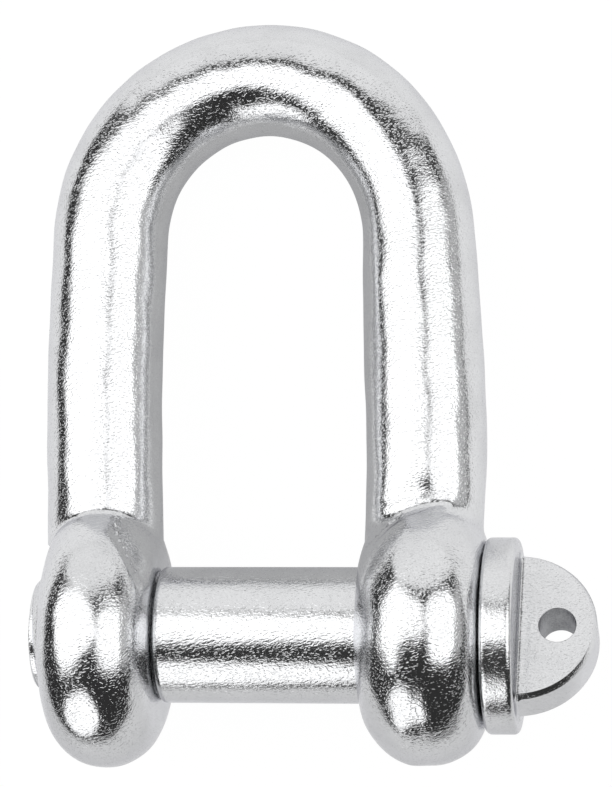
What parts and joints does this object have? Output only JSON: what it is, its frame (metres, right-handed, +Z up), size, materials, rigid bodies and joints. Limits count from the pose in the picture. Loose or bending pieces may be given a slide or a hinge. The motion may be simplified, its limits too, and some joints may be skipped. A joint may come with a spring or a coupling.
{
  "type": "screw pin dee shackle",
  "caption": "Forged D-shaped shackle of round bar with rounded eyes, closed by a removable screw pin that has a collar and a drilled tab, for joining chain and lifting gear.",
  "frame": {"origin": "on the pin's axis, midway between the two eyes", "axes": "+X along the pin towards its collar and tab, +Y from the pin towards the crown of the bow, level, +Z up with the shackle lying on both eyes and its crown"},
  "size_m": [0.107, 0.1426, 0.0506],
  "materials": {
    "body_zinc": "bright galvanised over a forged surface",
    "pin_zinc": "bright galvanised over a turned shank and a forged collar and tab"
  },
  "bodies": {
    "shackle": {"shackle_body": "body_zinc"},
    "pin": {"screw_pin": "pin_zinc"}
  },
  "joints": [
    {"name": "pin_draw", "type": "slide", "parent": "shackle", "child": "pin", "axis": [1, 0, 0], "range_m": [0, 0.1]}
  ]
}
